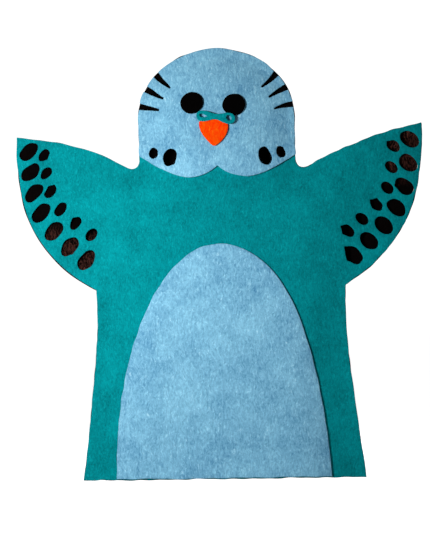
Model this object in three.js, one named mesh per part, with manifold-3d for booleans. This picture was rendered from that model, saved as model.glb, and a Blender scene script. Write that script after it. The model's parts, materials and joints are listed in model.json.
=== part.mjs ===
// A felt hand puppet shaped like a small parrot, upright as it sits on a hand.
// Millimetres, +Z up through the head, the front faces -Y, left is -X as seen from the front.
// The origin is the middle of the open hem, between the front and the back panel.
//
// Two flat panels are glued together around their outline and stay open at the hem. The panels
// part from each other inside the outline, which makes the pocket for the hand. Every piece is a
// sheet of felt, so one function makes them all: it takes an outline, as seen from the front, and
// how far in front of or behind the pocket the sheet lies.
import * as THREE from "three";
import { mergeVertices } from "three/addons/utils/BufferGeometryUtils.js";
import Module from "manifold-3d";

// ---- Driving dimensions --------------------------------------------------------------------

const FELT = 1.2; // thickness of every sheet of felt
const GAP = 0.3; // clearance between sheets that lie on each other
const GLUE = 0.5; // thickness of the glue between the panels
const GLUE_INSET = 0.7; // the glue stays this far inside the outline
const GLUE_WIDTH = 3; // at the sides and round the head
const WING_GLUE_WIDTH = 1.3; // beside the wing's spots

// Body outline, half widths measured from the middle
const HEM_HALF = 80; // at the open hem
const WAIST_HALF = 70.3; // where the body is narrowest
const WAIST_Z = 95; // the sides flare out below this height
const FLARE_PULL = 25; // how far below the waist the flare's control point lies
const ARMPIT_Z = 108.3; // where the wing leaves the side
const WING_TIP = { x: 115.2, z: 197.3 };

// Control points of the wing's curves, from the points they pull on
const TIP_PULL = { out: 1.8, down: 31.2 }; // lower edge, from the tip
const ARMPIT_PULL = { out: 36.7, up: 21.7 }; // lower edge, from the armpit
const TOP_PULL = { in: 39.3, down: 6.8 }; // top edge, from the tip

// Head
const NECK_Z = 175.5; // the notch between head and wing
const NOTCH_ROUND = { up: 4.2, out: 5.8, wingRise: 0.7, depth: 2.4 }; // its rounding, from the head's side
const NOTCH_OUT = 3.3; // lowest point of the notch, from the head's side
const HEAD_HALF = 44.2;
const HEAD_HEIGHT = 67.7; // crown above the notch
const HEAD_ROUND_HEIGHT = 39.2; // the dome above the straight sides
const CHEEK_CORNER_RISE = 7.3; // outer end of the cheek's edge above the notch
const CHEEK_DROP = 5; // lowest point of each cheek below the notch
const CHEEK_LOW_X = 16.5;
const CHEEK_CLEFT_RISE = 1.6; // the cleft between the cheeks above the notch
const CHEEK_PULL = { in: 9.6, inUp: 0.3, out: 11, outUp: 1.2 }; // control points, from the lowest point
const CHEEK_OVERLAP = 2.5; // how far the head panel laps over the body panel

// Cut-outs: half lengths of the ellipses
const LARGE_SPOT = { long: 6.0, short: 4.05 };
const SMALL_SPOT = { long: 4.0, short: 2.8 };
const SPOT_TILT = { tip: 36, armpit: 58 }; // degrees, rising towards the head
const LARGE_ROW = { count: 7, first: 9.1, step: 13.6, insetTip: 7, insetArmpit: 11 };
const SMALL_ROW = { count: 6, first: 13.3, step: 13.8, insetTip: 16.2, insetArmpit: 23.6 };
const ROW_TURN = { from: 36, to: 84 }; // along the wing's edge, where the rows move inwards
const CHEEK_SPOTS = [
  { fromSide: 17.4, rise: 6.7, long: 5.2, short: 3.6, tilt: 71 },
  { fromSide: 8.2, rise: 8.8, long: 3.15, short: 2.5, tilt: 73 },
];
const STRIPES = { count: 3, firstAngle: 9.2, stepAngle: 13.6, firstSlope: 12, stepSlope: 16 };
const STRIPE = { length: 11, width: 3.3, tipWidth: 0.8, midWidth: 2.3, midAt: 5 };

// Pieces laid on the body and the face
const BELLY = { sideMargin: 19, height: 132.4, hemInset: 0.6 };
const EYE_RADIUS = 6.3;
const EYES = { spacing: 23.9, x: -2.05, rise: 36.3, tilt: -3.4 };
const CERE = { spacing: 16.6, x: -0.45, rise: 28.7, tilt: -6.6, lobe: 2.75, waist: 1.5 };
const NOSTRIL = { spacing: 15.1, long: 1.9, short: 1.0 };
const BEAK = { half: 8.2, x: -1.8, rise: 29, tilt: -3, height: 16.5, sideHeight: 7, tipHalf: 1.2 };
const BEAK_PULL = { half: 5.9, up: 3 }; // control point of its rounded sides, from the tip

// Pocket and bends
const POCKET_HALF = 5; // how far each panel swells from the seam's plane
const POCKET_EASE = 34; // distance over which it swells
const SEAM_FLAT = 4; // the panels stay flat on each other this far in
const WING_POCKET = { open: 45, shut: 95 }; // the pocket fades out along the wing
const NECK_BEND_HALF = 7.5; // half height of the strip that bends at the neck
const NECK_BEND_RISE = -2; // middle of that strip, from the notch
const WING_BEND_HALF = 5; // half width of the strip that bends at the wing's root
const HEAD_SETTLE = { from: 10, to: 22 }; // rise over which the head panel meets the back panel

const GRID = 12; // spacing of the lines on which every sheet is shaped
const CURVE_STEPS = 10;
const SPOT_STEPS = 7; // half the sides of a spot or an eye
const SAME = 1e-3; // points closer than this are one point
const SHARPEST_MITRE = 0.3; // limits how far a glue line's corner reaches

// ---- Derived values ------------------------------------------------------------------------

const SEAM_HALF_GAP = GLUE / 2 + GAP;
const HEAD_TOP = NECK_Z + HEAD_HEIGHT;
const HEAD_ROUND_Z = HEAD_TOP - HEAD_ROUND_HEIGHT;
const NECK_BEND_Z = NECK_Z + NECK_BEND_RISE;
const LAYER = FELT + GAP; // one sheet further out
const NOTCH = new THREE.Vector2(HEAD_HALF + NOTCH_OUT, NECK_Z);
const ARMPIT = new THREE.Vector2(WAIST_HALF, ARMPIT_Z);

const PAST = 20; // cutting outlines run this far past the puppet
const BELOW = -PAST;
const ABOVE = HEAD_TOP + PAST;
const BEYOND = Math.max(WING_TIP.x, HEM_HALF) + PAST;

const at = (x, z) => new THREE.Vector2(x, z);
const degrees = THREE.MathUtils.degToRad;
const clamp01 = (t) => Math.min(1, Math.max(0, t));
const smooth = (t) => clamp01(t) ** 2 * (3 - 2 * clamp01(t));
const mirrored = (p) => at(-p.x, p.y);
const isNew = (p, i, points) => p.distanceTo(points[(i + 1) % points.length]) > SAME;

// ---- Solids --------------------------------------------------------------------------------

const wasm = await Module();
wasm.setup();

function toSolid(geometry) {
  geometry.deleteAttribute("normal");
  geometry.deleteAttribute("uv");
  const merged = mergeVertices(geometry, 1e-4);
  return new wasm.Manifold(
    new wasm.Mesh({
      numProp: 3,
      vertProperties: merged.attributes.position.array,
      triVerts: new Uint32Array(merged.index.array),
    }),
  );
}

function toGeometry(solid) {
  const mesh = solid.getMesh();
  return new THREE.BufferGeometry()
    .setAttribute("position", new THREE.BufferAttribute(mesh.vertProperties, 3))
    .setIndex(new THREE.BufferAttribute(mesh.triVerts, 1));
}

// An outline in x and z as a bar that runs right through the puppet from front to back.
function bar(outline) {
  const depth = 2 * (POCKET_HALF + PAST);
  const geometry = new THREE.ExtrudeGeometry(new THREE.Shape(outline), { depth, bevelEnabled: false });
  geometry.rotateX(Math.PI / 2);
  geometry.translate(0, depth / 2, 0);
  return toSolid(geometry);
}

// ---- Outlines, from the front --------------------------------------------------------------

// The wing's lower edge, from the tip round to the armpit.
const wingEdge = new THREE.CubicBezierCurve(
  at(WING_TIP.x, WING_TIP.z),
  at(WING_TIP.x + TIP_PULL.out, WING_TIP.z - TIP_PULL.down),
  at(ARMPIT.x + ARMPIT_PULL.out, ARMPIT.y + ARMPIT_PULL.up),
  ARMPIT,
);

// From the middle of the hem out and up the right side to the crown.
function rightSide() {
  const [tip, nearTip, nearArmpit, armpit] = [wingEdge.v0, wingEdge.v1, wingEdge.v2, wingEdge.v3];
  const notchFloor = NECK_Z - NOTCH_ROUND.depth;
  const path = new THREE.Path();
  path.moveTo(0, 0);
  path.lineTo(HEM_HALF, 0);
  path.quadraticCurveTo(WAIST_HALF, WAIST_Z - FLARE_PULL, WAIST_HALF, WAIST_Z);
  path.lineTo(armpit.x, armpit.y);
  path.bezierCurveTo(nearArmpit.x, nearArmpit.y, nearTip.x, nearTip.y, tip.x, tip.y);
  const wingStart = at(HEAD_HALF + NOTCH_ROUND.out, NECK_Z + NOTCH_ROUND.wingRise);
  path.quadraticCurveTo(tip.x - TOP_PULL.in, tip.y - TOP_PULL.down, wingStart.x, wingStart.y);
  path.quadraticCurveTo(HEAD_HALF, notchFloor, HEAD_HALF, NECK_Z + NOTCH_ROUND.up);
  path.lineTo(HEAD_HALF, HEAD_ROUND_Z);
  path.absellipse(0, HEAD_ROUND_Z, HEAD_HALF, HEAD_ROUND_HEIGHT, 0, Math.PI / 2, false, 0);
  return path.getPoints(CURVE_STEPS);
}

// A closed outline from its right half, which starts and ends on the middle line.
function symmetric(right) {
  return [...right, ...flipped(right)].filter(isNew);
}

const flipped = (outline) => outline.map(mirrored).reverse();
const onSide = (isLeft, outline) => (isLeft ? flipped(outline) : outline);

const side = rightSide();
const puppetOutline = symmetric(side);

// The cheek's lower edge, from the cleft in the middle out to the head's side.
function cheekEdge(lift) {
  const low = at(CHEEK_LOW_X, NECK_Z - CHEEK_DROP + lift);
  const corner = at(HEAD_HALF, NECK_Z + CHEEK_CORNER_RISE + lift);
  const path = new THREE.Path();
  path.moveTo(0, NECK_Z + CHEEK_CLEFT_RISE + lift);
  path.quadraticCurveTo(low.x - CHEEK_PULL.in, low.y + CHEEK_PULL.inUp, low.x, low.y);
  path.quadraticCurveTo(low.x + CHEEK_PULL.out, low.y + CHEEK_PULL.outUp, corner.x, corner.y);
  return path.getPoints(CURVE_STEPS);
}

function headOutline() {
  const path = new THREE.Path();
  path.absellipse(0, HEAD_ROUND_Z, HEAD_HALF, HEAD_ROUND_HEIGHT, 0, Math.PI / 2, false, 0);
  return symmetric([...cheekEdge(0), ...path.getPoints(2 * CURVE_STEPS)]);
}

// The area of the body panel, which ends under the cheeks.
function bodyArea() {
  const beside = HEAD_HALF + 0.1;
  const edge = cheekEdge(CHEEK_OVERLAP).reverse();
  return symmetric([at(0, BELOW), at(BEYOND, BELOW), at(BEYOND, ABOVE), at(beside, ABOVE), ...edge]);
}

function ellipse(x, z, long, short, tilt) {
  const path = new THREE.Path();
  path.absellipse(x, z, long, short, 0, 2 * Math.PI, false, tilt);
  return path.getPoints(SPOT_STEPS).slice(0, -1);
}

// A row of spots follows the wing's edge and moves inwards towards the armpit.
function spotRow(row, size) {
  const length = wingEdge.getLength();
  return Array.from({ length: row.count }, (_, i) => {
    const along = row.first + i * row.step;
    const turn = smooth((along - ROW_TURN.from) / (ROW_TURN.to - ROW_TURN.from));
    const inset = THREE.MathUtils.lerp(row.insetTip, row.insetArmpit, turn);
    const edge = wingEdge.getPointAt(along / length);
    const tangent = wingEdge.getTangentAt(along / length);
    const centre = edge.addScaledVector(at(tangent.y, -tangent.x), inset);
    const tilt = THREE.MathUtils.lerp(SPOT_TILT.tip, SPOT_TILT.armpit, (along / length) ** 2);
    return ellipse(centre.x, centre.y, size.long, size.short, Math.PI - degrees(tilt));
  });
}

const wingSpots = [...spotRow(LARGE_ROW, LARGE_SPOT), ...spotRow(SMALL_ROW, SMALL_SPOT)];

const cheekSpots = CHEEK_SPOTS.map((s) =>
  ellipse(HEAD_HALF - s.fromSide, NECK_Z + s.rise, s.long, s.short, Math.PI - degrees(s.tilt)),
);

// A stripe is a thin wedge cut in from the head's edge, a little wider than a straight one halfway.
function stripes() {
  return Array.from({ length: STRIPES.count }, (_, i) => {
    const angle = degrees(STRIPES.firstAngle + i * STRIPES.stepAngle);
    const slope = degrees(STRIPES.firstSlope + i * STRIPES.stepSlope);
    const [cos, sin] = [Math.cos(angle), Math.sin(angle)];
    const reach = 1 / Math.hypot(cos / HEAD_HALF, sin / HEAD_ROUND_HEIGHT);
    const root = at(reach * cos, HEAD_ROUND_Z + reach * sin);
    const out = at(Math.cos(slope), Math.sin(slope));
    const point = (along, across) => root.clone().addScaledVector(out, along)
      .addScaledVector(at(-out.y, out.x), across);
    const profile = [
      [STRIPE.midAt, STRIPE.width / 2],
      [0, STRIPE.width / 2],
      [-STRIPE.midAt, STRIPE.midWidth / 2],
      [-STRIPE.length, STRIPE.tipWidth / 2],
    ];
    const upper = profile.map(([along, across]) => point(along, across));
    const lower = profile.map(([along, across]) => point(along, -across));
    return [...upper, ...lower.reverse()];
  });
}

function bellyOutline() {
  const path = new THREE.Path();
  const half = HEM_HALF - BELLY.sideMargin;
  path.absellipse(0, BELLY.hemInset, half, BELLY.height, 0, Math.PI, false, 0);
  return path.getPoints(3 * CURVE_STEPS);
}

// Two round lobes joined by a narrow bridge.
function cereOutline() {
  const half = CERE.spacing / 2;
  const meet = Math.asin(CERE.waist / CERE.lobe);
  const path = new THREE.Path();
  path.absarc(half, 0, CERE.lobe, -Math.PI + meet, Math.PI - meet, false);
  path.absarc(-half, 0, CERE.lobe, meet, 2 * Math.PI - meet, false);
  return path.getPoints(CURVE_STEPS).filter(isNew);
}

// A shield with a flat top, measured down from its top edge.
function beakOutline() {
  const [half, tip] = [BEAK.half, BEAK.tipHalf];
  const path = new THREE.Path();
  path.moveTo(half, 0);
  path.lineTo(-half, 0);
  path.lineTo(-half, -BEAK.sideHeight);
  path.quadraticCurveTo(-BEAK_PULL.half, BEAK_PULL.up - BEAK.height, -tip, -BEAK.height);
  path.lineTo(tip, -BEAK.height);
  path.quadraticCurveTo(BEAK_PULL.half, BEAK_PULL.up - BEAK.height, half, -BEAK.sideHeight);
  return path.getPoints(CURVE_STEPS).filter(isNew);
}

// An outline drawn round its own centre, turned by its tilt and moved to its place on the face.
function placed(outline, { x, rise, tilt }) {
  const centre = at(0, 0);
  return outline.map((p) => p.clone().rotateAround(centre, degrees(tilt)).add(at(x, NECK_Z + rise)));
}

// ---- The pocket ----------------------------------------------------------------------------

// The hem is open, so the seam starts at the hem's corner.
function distanceToSeam(x, z) {
  const p = at(Math.abs(x), z);
  let nearest = Infinity;
  for (let i = 1; i < side.length - 1; i++) {
    const a = side[i];
    const span = side[i + 1].clone().sub(a);
    const along = clamp01(p.clone().sub(a).dot(span) / span.lengthSq());
    nearest = Math.min(nearest, p.distanceTo(a.clone().addScaledVector(span, along)));
  }
  return nearest;
}

function insidePuppet(x, z) {
  let inside = false;
  puppetOutline.forEach((a, i) => {
    const b = puppetOutline[(i + 1) % puppetOutline.length];
    if (a.y > z !== b.y > z && x < a.x + ((z - a.y) * (b.x - a.x)) / (b.y - a.y)) inside = !inside;
  });
  return inside;
}

// Half the distance between the facing sides of the front and the back panel. Below the hem the
// panels keep the shape that they have just above it.
function halfGap(x, z) {
  const height = Math.max(z, 1);
  if (!insidePuppet(x, height)) return SEAM_HALF_GAP;
  const swell = 1 - (1 - clamp01((distanceToSeam(x, height) - SEAM_FLAT) / POCKET_EASE)) ** 2;
  const fade = 1 - smooth((Math.abs(x) - WING_POCKET.open) / (WING_POCKET.shut - WING_POCKET.open));
  return SEAM_HALF_GAP + POCKET_HALF * swell * fade;
}

// The head panel starts one layer out, on top of the body panel, and settles on the back panel.
function headLift(x, z) {
  const rise = z - NECK_Z;
  return LAYER * (1 - clamp01((rise - HEAD_SETTLE.from) / (HEAD_SETTLE.to - HEAD_SETTLE.from)));
}

// A slab between two heights over x and z, on grid lines that all the sheets share.
function slab(outline, low, high) {
  const box = new THREE.Box2().setFromPoints(outline);
  const lines = (from, to) => {
    const first = Math.floor((from - 1) / GRID - 0.5);
    const last = Math.ceil((to + 1) / GRID - 0.5);
    return Array.from({ length: last - first + 1 }, (_, i) => (first + i + 0.5) * GRID);
  };
  const xs = lines(box.min.x, box.max.x);
  const zs = lines(box.min.y, box.max.y);
  const vertices = [];
  for (const height of [low, high])
    for (const z of zs) for (const x of xs) vertices.push(x, height(x, z), z);
  const index = (k, j, i) => (k * zs.length + j) * xs.length + i;
  const faces = [];
  const quad = (a, b, c, d) => faces.push(a, b, c, a, c, d);
  for (let j = 0; j + 1 < zs.length; j++)
    for (let i = 0; i + 1 < xs.length; i++) {
      quad(index(0, j, i), index(0, j, i + 1), index(0, j + 1, i + 1), index(0, j + 1, i));
      const [a, b] = [index(1, j, i), index(1, j + 1, i)];
      const [c, d] = [index(1, j + 1, i + 1), index(1, j, i + 1)];
      faces.push(a, c, d, a, b, c);
    }
  const [endJ, endI] = [zs.length - 1, xs.length - 1];
  for (let i = 0; i < endI; i++) {
    quad(index(0, 0, i), index(1, 0, i), index(1, 0, i + 1), index(0, 0, i + 1));
    quad(index(0, endJ, i), index(0, endJ, i + 1), index(1, endJ, i + 1), index(1, endJ, i));
  }
  for (let j = 0; j < endJ; j++) {
    quad(index(0, j, 0), index(0, j + 1, 0), index(1, j + 1, 0), index(1, j, 0));
    quad(index(0, j, endI), index(1, j, endI), index(1, j + 1, endI), index(0, j + 1, endI));
  }
  const geometry = new THREE.BufferGeometry();
  geometry.setAttribute("position", new THREE.Float32BufferAttribute(vertices, 3));
  geometry.setIndex(faces);
  return toSolid(geometry);
}

// ---- Sheets of felt ------------------------------------------------------------------------

// A sheet in front of the pocket: `layer` gives how far out its inner face lies.
function frontSheet(outline, layer = () => 0) {
  const inner = (x, z) => -(halfGap(x, z) + layer(x, z));
  const outer = (x, z) => inner(x, z) - FELT;
  return slab(outline, outer, inner).intersect(bar(outline));
}

function backSheet(outline) {
  const outer = (x, z) => halfGap(x, z) + FELT;
  return slab(outline, halfGap, outer).intersect(bar(outline));
}

// A line of glue between the panels, held a little clear of both.
function glueLine(outline) {
  const front = (x, z) => -(halfGap(x, z) - GAP);
  const back = (x, z) => halfGap(x, z) - GAP;
  return slab(outline, front, back).intersect(bar(outline));
}

function cutOut(solid, outlines) {
  return outlines.reduce((left, outline) => left.subtract(bar(outline)), solid);
}

const onHead = (layers) => (x, z) => headLift(x, z) + layers * LAYER;

// ---- Where the sheets bend -----------------------------------------------------------------

const rootLine = NOTCH.clone().sub(ARMPIT).normalize();
const rootNormal = new THREE.Vector2(rootLine.y, -rootLine.x);

// A point at height z on a line beside the wing's root, `offset` towards the tip.
function besideRoot(offset, z) {
  const start = ARMPIT.clone().addScaledVector(rootNormal, offset);
  return start.addScaledVector(rootLine, (z - start.y) / rootLine.y);
}

const NOTCH_LEVEL = NECK_Z + 0.5; // the neck's strip takes the felt above the notch
const NECK_SIDE = NOTCH.x - 1; // and on the head's side of it
const ROOT_TOP = NECK_Z + 10; // above the wing's top edge beside the notch

// Right-hand zones of the panels. Each keeps half the clearance to the next.
const edge = GAP / 2;
const bendLow = NECK_BEND_Z - NECK_BEND_HALF;
const bendHigh = NECK_BEND_Z + NECK_BEND_HALF;
const zones = {
  torso: [
    at(0, BELOW),
    besideRoot(-WING_BEND_HALF - edge, BELOW),
    besideRoot(-WING_BEND_HALF - edge, bendLow - edge),
    at(0, bendLow - edge),
  ],
  neck: [
    at(0, bendLow + edge),
    besideRoot(-WING_BEND_HALF - edge, bendLow + edge),
    besideRoot(-WING_BEND_HALF - edge, NOTCH_LEVEL + edge),
    at(NECK_SIDE - edge, NOTCH_LEVEL + edge),
    at(NECK_SIDE - edge, bendHigh - edge),
    at(0, bendHigh - edge),
  ],
  head: [at(0, bendHigh + edge), at(NECK_SIDE, bendHigh + edge), at(NECK_SIDE, ABOVE), at(0, ABOVE)],
};
const wingBendZone = [
  besideRoot(-WING_BEND_HALF + edge, BELOW),
  besideRoot(WING_BEND_HALF - edge, BELOW),
  besideRoot(WING_BEND_HALF - edge, ROOT_TOP),
  at(NECK_SIDE + edge, ROOT_TOP),
  at(NECK_SIDE + edge, NOTCH_LEVEL - edge),
  besideRoot(-WING_BEND_HALF + edge, NOTCH_LEVEL - edge),
];
const wingFoot = besideRoot(WING_BEND_HALF + edge, BELOW);
const wingZone = [
  wingFoot,
  at(wingFoot.x + BEYOND, BELOW),
  at(wingFoot.x + BEYOND, ABOVE),
  at(besideRoot(WING_BEND_HALF + edge, ROOT_TOP).x, ABOVE),
  besideRoot(WING_BEND_HALF + edge, ROOT_TOP),
];

// ---- Pieces --------------------------------------------------------------------------------

const felt = (colour) =>
  new THREE.MeshStandardMaterial({ color: colour, roughness: 0.95, metalness: 0 });
const TEAL = "#04908f";
const LIGHT_BLUE = "#76b6d6";
const BLACK = "#0b0a0b";
const ORANGE = "#fa4c05";
const materials = {
  teal: felt(TEAL),
  lightBlue: felt(LIGHT_BLUE),
  black: felt(BLACK),
  orange: felt(ORANGE),
  glue: new THREE.MeshStandardMaterial({ color: "#d9d6cc", roughness: 0.35, metalness: 0 }),
};

const puppet = new THREE.Group();

function add(name, solid, material) {
  const mesh = new THREE.Mesh(toGeometry(solid), material.clone());
  mesh.name = name;
  puppet.add(mesh);
}

// The body panel and the back panel, split where they bend.
const bodyPanel = frontSheet(puppetOutline).intersect(bar(bodyArea()));
const backPanel = backSheet(puppetOutline);
const torsoZone = bar(symmetric(zones.torso));
const neckZone = bar(symmetric(zones.neck));
const headZone = bar(symmetric(zones.head));

add("front_torso", bodyPanel.intersect(torsoZone), materials.teal);
add("back_torso", backPanel.intersect(torsoZone), materials.black);
add("front_neck_bend", bodyPanel.intersect(neckZone), materials.teal);
add("back_neck_bend", backPanel.intersect(neckZone), materials.black);
add("back_head", backPanel.intersect(headZone), materials.black);

for (const isLeft of [true, false]) {
  const name = isLeft ? "left" : "right";
  const bend = bar(onSide(isLeft, wingBendZone));
  const wing = bar(onSide(isLeft, wingZone));
  const spots = wingSpots.map((spot) => onSide(isLeft, spot));
  add(`${name}_front_wing_bend`, bodyPanel.intersect(bend), materials.teal);
  add(`${name}_back_wing_bend`, backPanel.intersect(bend), materials.black);
  add(`${name}_front_wing`, cutOut(bodyPanel.intersect(wing), spots), materials.teal);
  add(`${name}_back_wing`, backPanel.intersect(wing), materials.black);
}

const headCuts = [...cheekSpots, ...stripes()];
const bothSides = headCuts.flatMap((outline) => [outline, flipped(outline)]);
const headPanel = cutOut(frontSheet(headOutline(), onHead(0)), bothSides);
add("head_panel", headPanel, materials.lightBlue);
add("belly_panel", frontSheet(bellyOutline(), () => LAYER), materials.lightBlue);

for (const [name, direction] of [["left_eye", -1], ["right_eye", 1]]) {
  const disc = ellipse((direction * EYES.spacing) / 2, 0, EYE_RADIUS, EYE_RADIUS, 0);
  add(name, frontSheet(placed(disc, EYES), onHead(1)), materials.black);
}
add("beak", frontSheet(placed(beakOutline(), BEAK), onHead(1)), materials.orange);
const nostrils = [-1, 1].map((direction) => {
  const hole = ellipse((direction * NOSTRIL.spacing) / 2, 0, NOSTRIL.long, NOSTRIL.short, 0);
  return placed(hole, CERE);
});
const cere = frontSheet(placed(cereOutline(), CERE), onHead(2));
add("cere", cutOut(cere, nostrils), materials.teal);

// A strip inside a stretch of the outline, mitred at its corners.
function strip(points, inset, width) {
  const offset = (distance) =>
    points.map((p, i) => {
      const arriving = p.clone().sub(points[Math.max(i - 1, 0)]).normalize();
      const leaving = points[Math.min(i + 1, points.length - 1)].clone().sub(p).normalize();
      const along = arriving.add(leaving).normalize();
      const isEnd = i === 0 || i === points.length - 1;
      const reach = isEnd ? distance : distance / Math.max(along.dot(leaving), SHARPEST_MITRE);
      return p.clone().addScaledVector(at(-along.y, along.x), reach);
    });
  return [...offset(inset), ...offset(inset + width).reverse()];
}

// The glue leaves out the strips that bend and the stretch behind the stripes.
const lastStripe = degrees(STRIPES.firstAngle + STRIPES.count * STRIPES.stepAngle);
const aboveStripes = (p) => p.y > HEAD_ROUND_Z && Math.atan2(p.y - HEAD_ROUND_Z, p.x) > lastStripe;
const pastBend = (p) => p.clone().sub(ARMPIT).dot(rootNormal) > WING_BEND_HALF + GLUE_INSET;
const crown = side.filter(aboveStripes);
const crownGlue = strip([...crown, ...flipped(crown)].filter(isNew), GLUE_INSET, GLUE_WIDTH);
const besideHem = at(HEM_HALF, GLUE_INSET);
const sideGlue = [besideHem, ...side.filter((p) => p.x > 0 && p.y > besideHem.y && p.y <= ARMPIT_Z)];
const wingGlue = side.filter((p) => p.x > NOTCH.x && p.y > ARMPIT_Z && pastBend(p));
const cheekGlue = [at(HEAD_HALF, bendHigh + GLUE_INSET), at(HEAD_HALF, HEAD_ROUND_Z)];

add("crown_glue", glueLine(crownGlue), materials.glue);
for (const isLeft of [true, false]) {
  const name = isLeft ? "left" : "right";
  const glue = (points, width) => glueLine(onSide(isLeft, strip(points, GLUE_INSET, width)));
  add(`${name}_side_glue`, glue(sideGlue, GLUE_WIDTH).intersect(torsoZone), materials.glue);
  add(`${name}_cheek_glue`, glue(cheekGlue, GLUE_WIDTH), materials.glue);
  add(`${name}_wing_glue`, glue(wingGlue, WING_GLUE_WIDTH), materials.glue);
}

export default puppet;
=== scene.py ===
# %% [markdown]
# # A felt hand puppet shaped like a small parrot
# Two flat panels of craft felt, teal in front and black behind, are glued together round their outline
# and left open at the hem, where a hand goes in. A light blue head panel and a belly panel lie on the
# front, and the eyes, the beak and the teal cere lie on the head. The wings and the head panel have
# holes cut in them, through which the black panel behind shows as spots and stripes.
#
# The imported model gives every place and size. This scene makes each sheet again with cut edges,
# a soft surface and felt to look at, in metres and in the same frame.
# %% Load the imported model
import json

import bpy
import numpy as np
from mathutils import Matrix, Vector
from mathutils.geometry import delaunay_2d_cdt


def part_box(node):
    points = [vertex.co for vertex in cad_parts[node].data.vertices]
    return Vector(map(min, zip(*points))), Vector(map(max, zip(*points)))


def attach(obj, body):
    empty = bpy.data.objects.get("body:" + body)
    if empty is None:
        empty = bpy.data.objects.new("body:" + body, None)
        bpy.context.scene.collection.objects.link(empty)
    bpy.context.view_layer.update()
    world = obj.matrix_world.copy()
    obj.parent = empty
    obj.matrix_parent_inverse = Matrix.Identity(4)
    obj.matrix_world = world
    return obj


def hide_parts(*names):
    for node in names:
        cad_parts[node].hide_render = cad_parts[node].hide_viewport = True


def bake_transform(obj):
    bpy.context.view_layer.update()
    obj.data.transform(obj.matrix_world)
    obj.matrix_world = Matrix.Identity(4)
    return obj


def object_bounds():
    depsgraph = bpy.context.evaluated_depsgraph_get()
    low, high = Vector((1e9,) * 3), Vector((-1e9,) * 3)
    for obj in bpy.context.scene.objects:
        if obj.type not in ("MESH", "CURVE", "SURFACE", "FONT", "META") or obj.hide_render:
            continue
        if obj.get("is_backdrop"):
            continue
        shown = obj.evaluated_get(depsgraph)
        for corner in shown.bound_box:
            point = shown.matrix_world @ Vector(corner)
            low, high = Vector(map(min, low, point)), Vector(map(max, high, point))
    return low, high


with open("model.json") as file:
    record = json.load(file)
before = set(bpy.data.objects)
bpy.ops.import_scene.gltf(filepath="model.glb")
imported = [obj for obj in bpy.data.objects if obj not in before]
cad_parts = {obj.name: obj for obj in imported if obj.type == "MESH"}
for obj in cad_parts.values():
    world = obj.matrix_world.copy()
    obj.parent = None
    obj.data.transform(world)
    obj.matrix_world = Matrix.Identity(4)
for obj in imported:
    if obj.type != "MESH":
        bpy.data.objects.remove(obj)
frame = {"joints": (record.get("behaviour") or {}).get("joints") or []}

MM = 0.001
cad_low, cad_high = (np.array(corner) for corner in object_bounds())
print("packed box in mm:", np.round((cad_high - cad_low) / MM, 1))

# %% [markdown]
# ## Camera
# The puppet is seen square on, from far enough away that nothing looks closer than the rest, and
# hangs a little over one degree out of true. A long lens far away could be swapped for an orthographic
# camera, but a lens keeps the edges of the thick sheets visible, as they are in a real picture.
# The lens is worked out from the width that has to fit in the frame.
# %% Camera
VIEW_WIDTH = 243 * MM
VIEW_DISTANCE = 3.0
VIEW_ROLL = 1.25  # degrees
VIEW_OFFSET = np.array([-3.2, 0, -2.7]) * MM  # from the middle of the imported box
SENSOR = 36  # millimetres, the camera's own unit

middle = (cad_low + cad_high) / 2
lens_data = bpy.data.cameras.new("camera")
lens_data.sensor_fit = "HORIZONTAL"
lens_data.sensor_width = SENSOR
lens_data.lens = SENSOR * VIEW_DISTANCE / VIEW_WIDTH
lens_data.clip_end = 50
camera = bpy.data.objects.new("camera", lens_data)
camera.location = middle + VIEW_OFFSET - [0, VIEW_DISTANCE, 0]
camera.rotation_euler = np.radians([90, VIEW_ROLL, 0])
bpy.context.scene.collection.objects.link(camera)
bpy.context.scene.camera = camera
print("lens in mm:", round(lens_data.lens))

# %% [markdown]
# ## Sizes
# The sheets overlap, so they share one set of sizes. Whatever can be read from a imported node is
# read from it, and the curves between those points keep the pull points of the paper pattern.
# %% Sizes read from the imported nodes


def corners(node):
    """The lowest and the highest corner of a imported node."""
    low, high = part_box(node)
    return np.array(low), np.array(high)


def plan_middle(node):
    """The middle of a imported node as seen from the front, in x and z."""
    low, high = corners(node)
    return (low + high)[[0, 2]] / 2


FELT = 1.2 * MM
CLEARANCE = 0.3 * MM
LAYER = FELT + CLEARANCE

torso_high = corners("front_torso")[1]
wing_high = corners("right_front_wing")[1]
head_low, head_high = corners("head_panel")
HEM_HALF = torso_high[0]
SEAM_HALF_GAP = -wing_high[1]
HEAD_HALF, HEAD_TOP = head_high[0], head_high[2]
WING_TIP = np.array([wing_high[0] - 0.17 * MM, wing_high[2]])
POCKET_HALF = -corners("front_torso")[0][1] - FELT - SEAM_HALF_GAP

joints = {joint["name"]: joint for joint in frame["joints"]}
NECK_Z = joints["head_nod"]["pos_m"][2] + 2 * MM
ROOT_MIDDLE = np.array(joints["right_wing_flap"]["pos_m"])[[0, 2]]
ROOT_UP = -np.array(joints["right_wing_flap"]["axis"])[[0, 2]]
ROOT_OUT = np.array([ROOT_UP[1], -ROOT_UP[0]])
BEND_HALF = 5 * MM  # half width of the strip that bends at a wing's root
NECK_BEND = (NECK_Z - 9.5 * MM, NECK_Z + 5.5 * MM)
print("hem half width", round(HEM_HALF / MM, 1), "neck", round(NECK_Z / MM, 1), "mm")

# %% [markdown]
# ## The paper pattern
# An outline is a row of stretches, each a straight line or a curve that is pulled towards one or two
# points. Bezier curves give that with four numbers each. Every stretch is then stepped evenly, because
# even steps give even faces along the cut edge.
# %% Curves


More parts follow.
